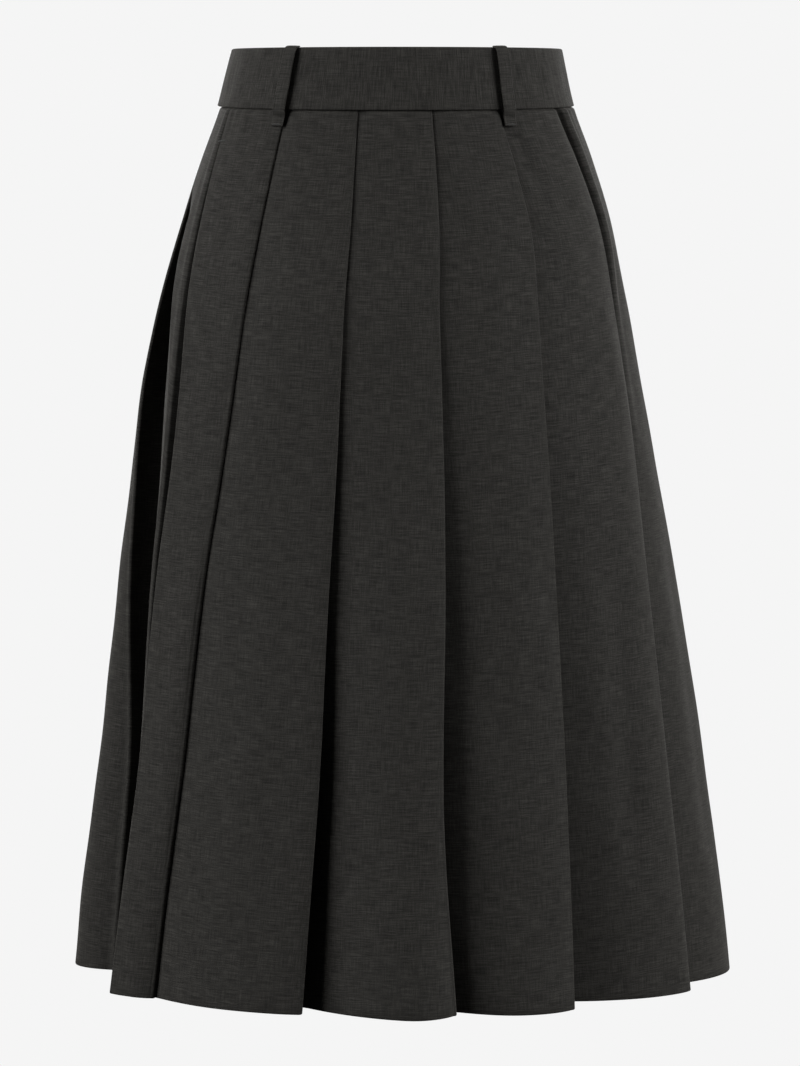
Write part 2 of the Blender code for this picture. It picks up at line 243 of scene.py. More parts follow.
# %% A pleat's measures at every height
def fold_at(index, z):
    """The measures of one pleat at each height z, in degrees and metres."""
    fold = FOLDS[index % len(FOLDS)]
    opened = (BAND_BOTTOM - z) / (BAND_BOTTOM - HEM)
    edge = smooth(z, LEVELS, fold.edge) + 360.0 * (index // len(FOLDS))
    curl = smooth(z, LEVELS, (0, 0, 0, *fold.curl)) * MM
    stand = smooth(z, LEVELS, np.multiply(STAND_SHARE, fold.stand)) * MM
    bulge = smooth(z, LEVELS, np.multiply(BULGE_SHARE, fold.bulge)) * MM
    step = smooth(z, LEVELS, (2 * LAYER / MM, *fold.step)) * MM
    layer = LAYER * (1 + LAYER_GROWTH * opened)
    under = (fold.under[0] * (1 - opened) + fold.under[1] * opened) * MM
    return {
        "edge": edge,
        "under": degrees(under, edge, z),
        "stand": stand,
        "curl": np.maximum(curl, 0),
        "step": np.maximum(step, curl - stand + layer + LAYER),
        "bulge": bulge,
        "layer": layer,
        "roll": degrees(0.5 * layer, edge, z),
        "rise": smooth(z, LEVELS, RISE),
        "valley": VALLEY_DROP * opened,
    }


def face_out(part, before, fold, rise, begin):
    """How far a face stands from the body line, at a part (0 to 1) of the way from fold to fold.

    stand (part-begin)^2 + bulge sin(pi part) - step (1-part/rise)^1.5 - curl (part-CURL_START)^2, each
    bracket held above 0 and scaled to reach 1.
    """
    sunk = before["step"] * np.maximum(0, 1 - part / rise) ** 1.5
    curled = fold["curl"] * np.maximum(0, (part - CURL_START) / (1 - CURL_START)) ** 2
    leant = fold["stand"] * np.maximum(0, (part - begin) / (1 - begin)) ** 2
    return leant + fold["bulge"] * np.sin(np.pi * part) - sunk - curled


def shares(count, ends=0.5):
    """count shares from 0 to 1, closer together towards both ends: t mixed with (1 - cos(pi t)) / 2."""
    t = np.linspace(0, 1, count)
    return (1 - ends) * t + ends * (0.5 - 0.5 * np.cos(np.pi * t))


print("front_2 underlay at the hem", round(float(fold_at(2, HEM)["under"]), 1), "degrees")


# %% The runs of a pleat, as (angle, out) arrays
def hidden_run(before):
    """The underlay: from the valley up to where the face before it ends."""
    part = np.linspace(0, 1, 7)[:-1]
    angle = before["edge"] - before["under"] * (1 - part)
    return angle, -before["step"] - (1 - part) * before["valley"]


def roll_run(fold, top, count=7):
    """The folded edge: half a circle, as wide as the two layers, from the face round to the return."""
    turn = np.linspace(np.pi / 2, -np.pi / 2, count + 2)[1:-1]
    return fold["edge"] + fold["roll"] * np.cos(turn), top + 0.5 * fold["layer"] * (np.sin(turn) - 1)


def return_run(fold, top, share):
    """The return behind the face: straight from the folded edge, share 1, back to the valley, share 0."""
    floor = -fold["step"] - fold["valley"] + fold["layer"]
    return fold["edge"] - fold["under"] * (1 - share), floor + (top - fold["layer"] - floor) * share


def valley_run(fold, count=5):
    """The inner fold: half a circle the other way round."""
    floor = -fold["step"] - fold["valley"] + fold["layer"]
    turn = np.linspace(np.pi / 2, -np.pi / 2, count + 2)[1:-1]
    angle = fold["edge"] - fold["under"] - fold["roll"] * np.cos(turn)
    return angle, floor + 0.5 * fold["layer"] * (np.sin(turn) - 1)


print("columns in an underlay:", hidden_run(fold_at(2, HEM))[0].shape[-1])

# %% [markdown]
# ## Creases listed one by one
#
# Pressed suiting is nearly flat, but no panel is a perfect surface. Each row of the table is one soft
# trough or ridge on one face: where it starts and ends, how wide and how deep it is. Its cross-section is
# a bell curve, and it fades in and out along its length. The back gets creases like those of the front.

# %% The crease table
# face, share across at the top and bottom, height from, height to, half width in mm, depth in mm (+ ridge)
Crease = collections.namedtuple("Crease", "face start end top bottom wide deep")
CREASES = tuple(Crease(*row) for row in (
    ("front_1", 0.62, 0.60, -0.060, -0.330, 16, -0.9),
    ("front_1", 0.83, 0.78, -0.300, -0.700, 11, 1.0),
    ("front_1", 0.80, 0.86, -0.035, -0.110, 7, 0.7),
    ("front_2", 0.35, 0.30, -0.080, -0.420, 17, 0.9),
    ("front_2", 0.72, 0.78, -0.260, -0.640, 15, -1.0),
    ("front_2", 0.55, 0.50, -0.480, -0.740, 18, 1.1),
    ("front_3", 0.40, 0.46, -0.060, -0.300, 18, -0.8),
    ("front_3", 0.66, 0.58, -0.240, -0.560, 16, 1.0),
    ("front_3", 0.36, 0.40, -0.520, -0.745, 13, -0.9),
    ("front_4", 0.55, 0.62, -0.050, -0.260, 15, 0.8),
    ("front_4", 0.45, 0.50, -0.300, -0.650, 14, -1.0),
    ("front_5", 0.12, 0.22, -0.034, -0.092, 6, -1.6),
    ("front_5", 0.62, 0.56, -0.028, -0.056, 5, -0.9),
    ("front_5", 0.57, 0.60, -0.330, -0.700, 12, -2.6),
    ("front_5", 0.80, 0.84, -0.120, -0.420, 10, 0.8),
    ("back_1", 0.12, 0.13, -0.026, -0.100, 7, -2.4),
    ("back_1", 0.16, 0.20, -0.090, -0.330, 5, 1.2),
    ("back_1", 0.60, 0.66, -0.300, -0.720, 13, -1.8),
    ("back_2", 0.50, 0.58, -0.080, -0.420, 14, 1.0),
    ("back_3", 0.62, 0.55, -0.240, -0.640, 14, -1.6),
    ("back_4", 0.45, 0.50, -0.060, -0.350, 15, 0.9),
    ("back_4", 0.66, 0.60, -0.420, -0.735, 12, -1.4),
    ("back_5", 0.40, 0.48, -0.200, -0.600, 15, -1.5),
    ("back_6", 0.58, 0.52, -0.050, -0.300, 13, 0.9),
    ("back_6", 0.70, 0.62, -0.380, -0.740, 12, -1.6),
    ("back_7", 0.50, 0.56, -0.220, -0.640, 13, 1.3),
    ("left_side", 0.46, 0.52, -0.240, -0.700, 14, -1.6),
))
WAVE_DEEP = 0.00045
PUCKER_DEEP = 0.00035
PUCKER_PITCH = 0.011
PUCKER_FADE = 0.020


def creased(name, part, z, wide):
    """The face's relief: the sum of deep * exp(-(distance/wide)^2) * (1 - |2s-1|^3)^2 over its creases.

    s is the share of the way down a crease, and wide the face's width in metres at each height. To that
    come slow waves, products of sines with a phase for each face, and small puckers PUCKER_PITCH apart
    that fade out below the waistband.
    """
    relief = np.zeros(np.broadcast_shapes(np.shape(part), np.shape(z)))
    for crease in CREASES:
        if crease.face != name:
            continue
        s = np.clip((z - crease.top) / (crease.bottom - crease.top), 0, 1)
        away = (part - crease.start - (crease.end - crease.start) * s) * wide / (crease.wide * MM)
        relief = relief + crease.deep * MM * np.exp(-(away**2)) * (1 - np.abs(2 * s - 1) ** 3) ** 2
    turn = sum(map(ord, name))
    waves = np.sin(z * 31 + turn) * np.sin(part * 5.3 + turn * 1.7 + z * 9)
    waves = waves + 0.6 * np.sin(z * 67 + turn * 2.3 + part * 3.1) * np.sin(part * 9.7 + turn)
    puckers = np.sin(part * wide * 2 * np.pi / PUCKER_PITCH + 2.2 * np.sin(part * 7 + turn))
    fade = np.exp(-(BAND_BOTTOM - z) / PUCKER_FADE)
    return relief + WAVE_DEEP * waves * (1 - fade) + PUCKER_DEEP * puckers * fade


print(len(CREASES), "creases placed by hand")

# %% [markdown]
# ## From arrays to cloth
#
# A grid of points becomes a mesh of quads in one call. Every vertex also gets its place in the flat
# cloth, in metres, as a UV map: across the cut and down it. The weave reads that map, so the threads run
# down each pleat as they do when the cloth is cut on the straight grain.


# %% A grid of points as a mesh
def grid_object(name, points, across, down, material, closed=False):
    """A mesh of quads over points (rows, columns, 3), with a UV map of flat places in metres.

    Columns go round the body towards growing angles and rows go down, so the faces point outwards. With
    closed, the last column joins the first.
    """
    rows, columns = points.shape[:2]
    last = columns if closed else columns - 1
    row, column = np.meshgrid(np.arange(rows - 1), np.arange(last), indexing="ij")
    right = (column + 1) % columns
    a, b = row * columns + column, row * columns + right
    quads = np.stack([a, a + columns, b + columns, b], axis=-1).reshape(-1, 4)
    mesh = bpy.data.meshes.new(name)
    mesh.vertices.add(rows * columns)
    mesh.vertices.foreach_set("co", points.astype(np.float32).ravel())
    mesh.loops.add(quads.size)
    mesh.loops.foreach_set("vertex_index", quads.astype(np.int32).ravel())
    mesh.polygons.add(len(quads))
    mesh.polygons.foreach_set("loop_start", np.arange(0, quads.size, 4, dtype=np.int32))
    mesh.update(calc_edges=True)
    flat = np.stack([np.broadcast_to(side, (rows, columns)).ravel() for side in (across, down)], axis=-1)
    mesh.uv_layers.new(name="cloth").data.foreach_set("uv", flat[quads.ravel()].astype(np.float32).ravel())
    mesh.shade_smooth()
    mesh.materials.append(material)
    thing = bpy.data.objects.new(name, mesh)
    bpy.context.scene.collection.objects.link(thing)
    return thing


def thicken(thing, thickness):
    """A wall around the surface, half the thickness to each side."""
    wall = thing.modifiers.new("wall", "SOLIDIFY")
    wall.thickness = thickness
    wall.offset = 0.0
    wall.use_even_offset = False
    return thing


def normals(points):
    """Outward unit normals of a grid: the cross product of the way round and the way down, reversed."""
    around, downward = np.gradient(points, axis=1), np.gradient(points, axis=0)
    normal = np.cross(downward, around)
    return normal / np.maximum(np.linalg.norm(normal, axis=-1, keepdims=True), 1e-12)


def walked(points, axis):
    """The length along a grid from its first row (axis 0) or first column (axis 1) to each point."""
    steps = np.diff(points, axis=axis, prepend=np.take(points, [0], axis=axis))
    return np.cumsum(np.linalg.norm(steps, axis=-1), axis=axis)


square = np.array([[(0, 0, 1), (1, 0, 1)], [(0, 0, 0), (1, 0, 0)]], float)
print("a square seen from the front faces", normals(square)[0, 0])


# %% [markdown]
# ## The suiting
#
# The cloth is a charcoal melange: dark and paler wool spun together, in a plain weave with slubs. Two
# noises drawn out along the threads give the slubs of weft and warp, a fine one the single fibres and a
# slow one the clouds of the melange. The bump follows the same threads. Wool has a soft bloom where the
# eye grazes it, which is the shader's sheen.

# %% Noises and the weave
THREAD = 0.0008
SLUB = 0.016
FIBRE = 0.0006
CLOUD = (0.014, 0.009)
WEAVE_PITCH = 0.6 * THREAD


def set_inputs(node, values):
    for name, value in values.items():
        node.inputs[name].default_value = value


def stretched_noise(tree, uv, size, detail, offset):
    """A noise whose grains measure size (across, down) in metres of cloth, taken at a place of its own."""
    place = tree.nodes.new("ShaderNodeMapping")
    set_inputs(place, {"Scale": (1 / size[0], 1 / size[1], 1.0), "Location": offset})
    noise = tree.nodes.new("ShaderNodeTexNoise")
    set_inputs(noise, {"Scale": 1.0, "Detail": detail, "Roughness": 0.6})
    tree.links.new(uv, place.inputs["Vector"])
    tree.links.new(place.outputs["Vector"], noise.inputs["Vector"])
    return noise.outputs["Fac"]


def math_node(tree, operation, *values):
    """A maths node's output. Each value is a number or another node's output."""
    node = tree.nodes.new("ShaderNodeMath")
    node.operation = operation
    for socket, value in zip(node.inputs, values):
        if isinstance(value, bpy.types.NodeSocket):
            tree.links.new(value, socket)
        else:
            socket.default_value = value
    return node.outputs["Value"]


def weighted(tree, terms):
    """0.5 plus the sum of weight * (value - 0.5)."""
    total = 0.5 - 0.5 * sum(weight for weight, _ in terms)
    for weight, value in terms:
        total = math_node(tree, "MULTIPLY_ADD", value, weight, total)
    return total


def plain_weave(tree, uv, pitch):
    """The relief of a plain weave: sin(pi u / pitch) * sin(pi v / pitch)."""
    split = tree.nodes.new("ShaderNodeSeparateXYZ")
    tree.links.new(uv, split.inputs["Vector"])
    turns = [math_node(tree, "MULTIPLY", split.outputs[axis], math.pi / pitch) for axis in "XY"]
    return math_node(tree, "MULTIPLY", *(math_node(tree, "SINE", turn) for turn in turns))


print("slubs", SLUB / MM, "mm long and", THREAD / MM, "mm wide")

# %% The cloth's material
SHADE = {"across": 0.55, "along": 0.35, "fibres": 0.30, "clouds": 0.12}
BUMP = {"threads": 0.25, "across": 0.8, "along": 0.6, "fibres": 0.4}
CLOTH_BUMP = (0.35, 0.0003)  # strength and height
MELANGE = (
    (0.36, (0.0125, 0.0119, 0.0107, 1)),
    (0.50, (0.0270, 0.0257, 0.0232, 1)),
    (0.66, (0.0560, 0.0533, 0.0480, 1)),
)
ROUGHNESS = {"From Min": 0.3, "From Max": 0.7, "To Min": 0.92, "To Max": 0.74}  # paler fibres shine more
FINISH = {
    "Specular IOR Level": 0.22,
    "Sheen Weight": 0.12,
    "Sheen Roughness": 0.45,
    "Sheen Tint": (0.85, 0.80, 0.72, 1),
}


def new_material(name):
    """A material with its node tree and its shader."""
    material = bpy.data.materials.new(name)
    material.use_nodes = True
    return material, material.node_tree, material.node_tree.nodes["Principled BSDF"]


def add_bump(tree, shader, height, strength, distance):
    bump = tree.nodes.new("ShaderNodeBump")
    set_inputs(bump, {"Strength": strength, "Distance": distance})
    tree.links.new(height, bump.inputs["Height"])
    tree.links.new(bump.outputs["Normal"], shader.inputs["Normal"])


def suiting(name):
    """Noises over the flat cloth, mixed by SHADE into the colour and by BUMP into the relief."""
    material, tree, shader = new_material(name)
    source = tree.nodes.new("ShaderNodeUVMap")
    source.uv_map = "cloth"
    uv = source.outputs["UV"]
    layers = {
        "across": stretched_noise(tree, uv, (SLUB, THREAD), 3.0, (3.1, 7.7, 0)),
        "along": stretched_noise(tree, uv, (THREAD, SLUB), 3.0, (9.2, 1.3, 0)),
        "fibres": stretched_noise(tree, uv, (FIBRE, FIBRE), 1.0, (5.5, 2.4, 0)),
        "clouds": stretched_noise(tree, uv, CLOUD, 2.0, (1.8, 4.6, 0)),
        "threads": plain_weave(tree, uv, WEAVE_PITCH),
    }
    shade = weighted(tree, [(weight, layers[layer]) for layer, weight in SHADE.items()])
    ramp = tree.nodes.new("ShaderNodeValToRGB")
    stops = ramp.color_ramp.elements
    stops.new(MELANGE[1][0])
    for stop, (place, colour) in zip(stops, MELANGE):
        stop.position = place
        stop.color = colour
    tree.links.new(shade, ramp.inputs["Fac"])
    tree.links.new(ramp.outputs["Color"], shader.inputs["Base Color"])
    rough = tree.nodes.new("ShaderNodeMapRange")
    set_inputs(rough, ROUGHNESS)
    tree.links.new(shade, rough.inputs["Value"])
    tree.links.new(rough.outputs["Result"], shader.inputs["Roughness"])
    relief = weighted(tree, [(weight, layers[layer]) for layer, weight in BUMP.items()])
    add_bump(tree, shader, relief, *CLOTH_BUMP)
    set_inputs(shader, FINISH)
    return material


panel_cloth = suiting("charcoal_suiting")
print("cloth made:", panel_cloth.name)

# %% [markdown]
# ## The sewing thread
#
# The seams' own stitches lie inside, but bar tacks show. Their thread is matt, a little darker than the
# cloth, and twisted, so its colour and its bump follow a fine noise.

# %% The thread's material
TWIST = 1800.0
THREAD_BUMP = (0.5, 0.0001)
THREAD_DARK = (0.007, 0.0066, 0.006, 1)
THREAD_PALE = (0.021, 0.020, 0.018, 1)


def sewing_thread(name):
    """Matt charcoal thread, with a fine noise in its colour and its bump."""
    material, tree, shader = new_material(name)
    place = tree.nodes.new("ShaderNodeTexCoord")
    noise = tree.nodes.new("ShaderNodeTexNoise")
    noise.inputs["Scale"].default_value = TWIST
    tree.links.new(place.outputs["Object"], noise.inputs["Vector"])
    ramp = tree.nodes.new("ShaderNodeValToRGB")
    ramp.color_ramp.elements[0].color = THREAD_DARK
    ramp.color_ramp.elements[1].color = THREAD_PALE
    tree.links.new(noise.outputs["Fac"], ramp.inputs["Fac"])
    tree.links.new(ramp.outputs["Color"], shader.inputs["Base Color"])
    add_bump(tree, shader, noise.outputs["Fac"], *THREAD_BUMP)
    set_inputs(shader, {"Roughness": 0.7, "Sheen Weight": 0.15})
    return material


thread = sewing_thread("charcoal_thread")
print("thread made:", thread.name)

# %% [markdown]
# ## The panels
#
# A real maker joins three panels: the front from side seam to side seam, and the back in two halves. Each
# is one grid here. Its columns are the runs of its pleats side by side, and its rows go down to the hem,
# round the hem's fold and a little way up inside, because a hem is a doubled edge. The right side seam lies
# behind a pleat, and its pocket is a slit in the shade of that pleat: a trough with a steep far wall.

# %% The columns of a panel
FACE_COLUMNS = 30
SEAM_SHARE = 0.25  # a seam under a pleat lies this share of the way up its return
SEAM_HALF = 0.0045
RETURN_LOW = 0.2  # where the lower part of a return starts when no seam parts it
EASE = 0.0011
EASE_REACH = 0.006
FADE_IN = 0.06  # shares of a face over which its creases fade in and out
FADE_OUT = 0.03
RIGHT_HEIGHTS = (-0.025, -0.060, -0.110, -0.160, -0.200, -0.745)
RIGHT_GAP = (7, 9, 9, 8, 7, 6)  # mm from the pleat to the pocket's far wall
RIGHT_DEEP = (4.0, 5.5, 5.5, 4.5, 0.8, 0.0)  # mm
RIGHT_WALL = 0.0025
RIGHT_START = 0.002
RIGHT_WELT = 0.25  # share of the depth
RIGHT_WELT_WIDE = 0.003
POCKET_SHARE = 0.2  # share of the face that gets extra columns for the pocket
POCKET_COLUMNS = 25


def top_of(index, z):
    """How far out a face ends at its folded edge."""
    fold = fold_at(index, z)
    return fold["stand"] - fold["curl"]


def eased(out, distance):
    """The cloth eases back just before a fold: EASE * exp(-distance / EASE_REACH) further in."""
    return out - EASE * np.exp(-np.maximum(distance, 0) / EASE_REACH)


def right_pocket(distance, z):
    """The slit of the right pocket behind its fold: a trough with a steep far wall, and a welt beyond it.

    The trough is RIGHT_DEEP deep up to RIGHT_GAP from the fold and ends on the curve t^2 (3-2t).
    """
    gap = smooth(z, RIGHT_HEIGHTS, RIGHT_GAP) * MM
    deep = np.maximum(smooth(z, RIGHT_HEIGHTS, RIGHT_DEEP), 0) * MM
    past = np.clip((distance - gap) / RIGHT_WALL, 0, 1)
    trough = (1 - smooth_step(past)) * np.clip(distance / RIGHT_START, 0, 1)
    beside = (distance - gap - RIGHT_WALL - RIGHT_WELT_WIDE) / RIGHT_WELT_WIDE
    return deep * (RIGHT_WELT * np.exp(-(beside**2)) - trough)


def face_run(index, z):
    """A whole face from the pleat before it to its own folded edge, creases and all."""
    before, fold = fold_at(index - 1, z), fold_at(index, z)
    part = shares(FACE_COLUMNS)
    if index - 1 == FRONT_SEAM_FOLD:
        extra = np.linspace(0, POCKET_SHARE, POCKET_COLUMNS + 1)[:-1]
        part = np.concatenate([extra, POCKET_SHARE + (1 - POCKET_SHARE) * part])
    wide = fold["edge"] - before["edge"]
    metres = wide / degrees(1.0, 0.5 * (fold["edge"] + before["edge"]), z)
    out = face_out(part, before, fold, before["rise"], 0.0)
    shown = np.clip(part / FADE_IN, 0, 1) * np.clip((1 - part) / FADE_OUT, 0, 1)
    out = out + creased(FOLDS[index % len(FOLDS)].name, part, z, metres) * shown
    out = eased(out, (1 - part) * metres)
    if index - 1 == FRONT_SEAM_FOLD:
        out = out + right_pocket(part * metres, z)
    return before["edge"] + wide * part, out


def pleat_end(index, z, first, last):
    """The roll at the edge and the return, from share first to share last of it."""
    fold = fold_at(index, z)
    top = top_of(index, z) - EASE
    share = np.linspace(first, last, 5)
    return [roll_run(fold, top), return_run(fold, top, share)]


def valley_start(index, z, first):
    """What is left of a return from share first on, and the inner fold."""
    fold = fold_at(index, z)
    return [return_run(fold, top_of(index, z) - EASE, np.linspace(first, 0.0, 3)), valley_run(fold)]


def whole_pleat(index, z):
    """The roll, the return and the inner fold of a pleat with no seam in it."""
    return pleat_end(index, z, 1.0, SEAM_SHARE) + valley_start(index, z, RETURN_LOW)


def between_seams(first, last, z):
    """The underlay and face after pleat first, then each whole pleat with its own, as far as pleat last."""
    runs = []
    for index in range(first, last):
        if index > first:
            runs += whole_pleat(index, z)
        runs += [hidden_run(fold_at(index, z)), face_run(index + 1, z)]
    return runs


def joined(runs, z):
    """All the runs side by side, as two arrays of one shape, with the first column of each run."""
    shapes = [np.broadcast_arrays(angle, out, z) for angle, out in runs]
    starts = np.cumsum([0] + [shape[0].shape[1] for shape in shapes])
    return np.hstack([s[0] for s in shapes]), np.hstack([s[1] for s in shapes]), starts


print("right pocket up to", round(-float(right_pocket(0.005, -0.11)) / MM, 1), "mm deep")

# %% [markdown]
# ## The left side seam and its pocket
#
# Here the front's edge is turned under and laps over the back, and the pocket opens between them. Its
# mouth is the cloth's own relief: the back's strip runs beside the front's edge with a pressed welt, and a
# wall drops from it into the slit. Below the pocket the two are sewn together, and the strip sinks out of
# sight behind the front's edge.

# %% The measures of the left side seam
TURN_UNDER = 0.014
TURN_ROLL = 0.0009
LAP_UNDER = 0.010
LIP = 0.001
LIP_REACH = 0.012
EDGE_FADE = 0.04
WALL = 0.0012
WELT = 0.0009
WELT_WIDE = 0.0035
MOUTH_SHARE = 0.4  # share of the gap over which the slit comes up again beside the front's edge
VALLEY_TOP = -0.083
VALLEY_REACH = 0.055
VALLEY_HOLLOW = 0.016
LAP_DROP = 0.0006
# In mm at the six levels: from the front's edge to the wall, the slit's depth, how far the strip sinks, and
# how much further in than the groove it runs where the front leans in
POCKET_GAP = (1.6, 5.0, 8.5, 5.0, 2.5, 2.0)
POCKET_DEEP = (2.5, 6.5, 8.0, 7.0, 5.0, 4.0)
RIDGE_SUNK = (0, 0, 0, 1.5, 6, 7)
LAP_DEEP = (0, 0, 0, 0.5, 1.5, 3)
print("left pocket's slit up to", max(POCKET_GAP), "mm wide and", max(POCKET_DEEP), "mm deep")


# %% The two edges of the left side seam
def front_edge_run(z):
    """The front's turned edge: a strip behind, half a circle of TURN_ROLL, then the face."""
    ridge = smooth(z, LEVELS, RIDGE_FRONT)
    before, fold = fold_at(0, z), fold_at(1, z)
    part = shares(FACE_COLUMNS + 6)
    wide = fold["edge"] - ridge
    metres = wide / degrees(1.0, 0.5 * (fold["edge"] + ridge), z)
    back = np.linspace(1, 0, 7)
    leant = fold["stand"] * (back * TURN_UNDER / metres) ** 2
    lip = LIP * np.exp(-back * TURN_UNDER / LIP_REACH)
    behind = ridge + degrees(TURN_UNDER, ridge, z) * back, lip + leant - 2 * TURN_ROLL
    turn = np.linspace(-np.pi / 2, np.pi / 2, 9)[1:-1]
    roll = ridge - degrees(TURN_ROLL, ridge, z) * np.cos(turn), LIP + TURN_ROLL * (np.sin(turn) - 1)
    begin = (ridge - before["edge"]) / (fold["edge"] - before["edge"])
    out = face_out(begin + (1 - begin) * part, before, fold, begin, begin)
    out = out + LIP * np.exp(-part * metres / LIP_REACH)
    shown = np.clip(part / EDGE_FADE, 0, 1) * np.clip((1 - part) / FADE_OUT, 0, 1)
    out = eased(out + creased("front_1", part, z, metres) * shown, (1 - part) * metres)
    return [behind, roll, (ridge + wide * part, out)]


def pocket_relief(distance, z):
    """The strip beside the pocket: a raised welt, then a steep wall down into the pocket's slit.

    The wall falls POCKET_DEEP over the length WALL, POCKET_GAP away from the front's edge, on the curve
    t^2 (3-2t), and comes up again close to that edge. The welt is a bell of WELT beside the wall.
    """
    gap, deep = smooth(z, LEVELS, POCKET_GAP) * MM, smooth(z, LEVELS, POCKET_DEEP) * MM
    down = np.clip((gap + WALL - distance) / WALL, 0, 1)
    back_up = np.clip(distance / (MOUTH_SHARE * gap), 0, 1)
    welt = WELT * np.exp(-(((distance - gap - WALL - WELT_WIDE) / WELT_WIDE) ** 2))
    return welt - deep * smooth_step(down) * back_up


def back_edge_run(z):
    """The back's edge: from the valley to a ridge, down the strip beside the pocket and under the front.

    The slope to the ridge has a hollow VALLEY_HOLLOW t (1-t) deep. The strip follows pocket_relief, less
    the groove's depth times t^6 and less what its upper part sinks.
    """
    before = fold_at(0, z)
    ridge, front = smooth(z, LEVELS, RIDGE_BACK), smooth(z, LEVELS, RIDGE_FRONT)
    deep = smooth(z, LEVELS, GROOVE_DEEP) * MM
    sunk = np.maximum(smooth(z, LEVELS, RIDGE_SUNK), 0) * MM
    opened = smooth_step(np.clip((VALLEY_TOP - z) / VALLEY_REACH, 0, 1))
    step = 2 * LAYER + (before["step"] - 2 * LAYER) * opened
    up = shares(16, 0.7)[:-1]
    hollow = VALLEY_HOLLOW * up * (1 - up) * opened
    slope = before["edge"] + (ridge - before["edge"]) * up, -step * (1 - up) - hollow - sunk * up
    metres = (front - ridge) / degrees(1.0, front, z)
    foot = np.minimum((smooth(z, LEVELS, POCKET_GAP) * MM + 2 * WALL) / metres, 0.75)
    flat = (1 - foot) * np.linspace(0, 1, 12)[:-1]
    strip = np.hstack([flat, 1 - foot * np.linspace(1, 0, 16)])
    relief = pocket_relief((1 - strip) * metres, z) - deep * strip**6 - sunk * (1 - strip)
    under = np.linspace(0, 1, 5)[1:]
    lower = smooth(z, LEVELS, LAP_DEEP) * MM
    lap = front + degrees(LAP_UNDER, front, z) * under, -deep - (LAP_DROP + lower) * under
    return [slope, (ridge + (front - ridge) * strip, relief), lap]


print("front edge", [run[0].shape[-1] for run in front_edge_run(np.array([[HEM]]))], "columns in its runs")

# %% [markdown]
# ## Rows, the waist seam and the hem
#
# A panel's top is sewn in behind the waistband, so its rows start a little above the band's foot and dip
# in under it. The dip is what makes the seam's thin dark line. The hem is turned up on the inside and
# pressed: half a circle at the bottom, then a second layer close to the first. Along the front's turned
# edge the cloth is folded back, so there the hem turns the other way and changes side across the roll.

# %% Heights of the rows
SEAM_DIP = 0.0029
SEAM_REACH = 0.0017
SEAM_ROWS = 0.005
SEAM_ALLOWANCE = 0.0020  # how far the panels run up behind the waistband
HEM_START = 0.002  # from the hem's fold to the second layer's first row


def panel_rows(count=132):
    """Heights from behind the band down: close rows for the seam's dip, then wider ones to the hem.

    With t from 0 to 1, the wider ones lie 0.8 t + 0.2 t^1.8 of the way down.
    """
    t = np.linspace(0, 1, count)[1:]
    first = PANEL_TOP - np.concatenate([[-SEAM_ALLOWANCE], np.linspace(0, SEAM_ROWS, 8)])
    rest = HEM + 0.5 * HEM_LIFT - first[-1]
    return np.concatenate([first, first[-1] + rest * (0.8 * t + 0.2 * t**1.8)])


def flat_across(points, starts):
    """Each point's place across the flat cloth: the length along its row from the middle of its run."""
    length = walked(points, 1)
    run = np.searchsorted(starts, np.arange(points.shape[1]), side="right") - 1
    home = ((starts[:-1] + starts[1:]) // 2)[run]
    return length - length[:, home] + length.mean(axis=0)[home]


def hem_rows(points, side):
    """The panel's rows with its hem: half a circle of HEM_LIFT at the bottom, then HEM_TURN up inside.

    side is 1 where the hem turns to the cloth's own inside, and -1 along an edge that is folded back.
    """
    inward = -normals(points) * side[:, None]
    heights = points[:, 0, 2]
    turned = np.linspace(HEM + 0.5 * HEM_LIFT + HEM_START, HEM + HEM_TURN, 8)
    rows = np.interp(-turned, -heights, np.arange(len(heights)))
    low = rows.astype(int)
    share = (rows - low)[:, None, None]
    high = np.minimum(low + 1, len(heights) - 1)
    inside = points[low] * (1 - share) + points[high] * share
    inside = inside + HEM_LIFT * (inward[low] * (1 - share) + inward[high] * share)
    turn = np.linspace(0, np.pi, 7)[1:][:, None, None]
    roll = points[-1] + 0.5 * HEM_LIFT * (1 - np.cos(turn)) * inward[-1]
    roll = roll - 0.5 * HEM_LIFT * np.sin(turn) * np.array([0.0, 0.0, 1.0])
    return np.concatenate([points, roll, inside])


# %% Make the three panels
def panel(name, runs, z, side=1.0):
    """The grid of a panel, with its hem, as an object of cloth.

    Its top dips in under the waistband's foot by SEAM_DIP * exp(-(depth below / SEAM_REACH)^2).
    """
    angle, out, starts = joined(runs, z)
    out = out - SEAM_DIP * np.exp(-((np.maximum(PANEL_TOP - z, 0) / SEAM_REACH) ** 2))
    points = hem_rows(on_body(angle, z, out), side * np.ones(angle.shape[1]))
    lengths = walked(points[: len(z)], 1)[:, -1]
    print(name, points.shape, "waist and hem along the cloth", lengths[[0, -1]].round(3))
    cloth = grid_object(name, points, flat_across(points, starts), walked(points, 0), panel_cloth)
    return thicken(cloth, CLOTH), lengths


rows = panel_rows()[:, None]
front_runs = front_edge_run(rows) + whole_pleat(1, rows) + between_seams(1, FRONT_SEAM_FOLD, rows)
front_runs += pleat_end(FRONT_SEAM_FOLD, rows, 1.0, SEAM_SHARE + SEAM_HALF)
right_runs = valley_start(FRONT_SEAM_FOLD, rows, SEAM_SHARE - SEAM_HALF)
right_runs += between_seams(FRONT_SEAM_FOLD, BACK_SEAM_FOLD, rows)
right_runs += pleat_end(BACK_SEAM_FOLD, rows, 1.0, SEAM_SHARE + SEAM_HALF)
left_runs = valley_start(BACK_SEAM_FOLD, rows, SEAM_SHARE - SEAM_HALF)
left_runs += between_seams(BACK_SEAM_FOLD, len(FOLDS), rows) + whole_pleat(len(FOLDS), rows)
left_runs += [hidden_run(fold_at(0, rows))] + back_edge_run(rows)

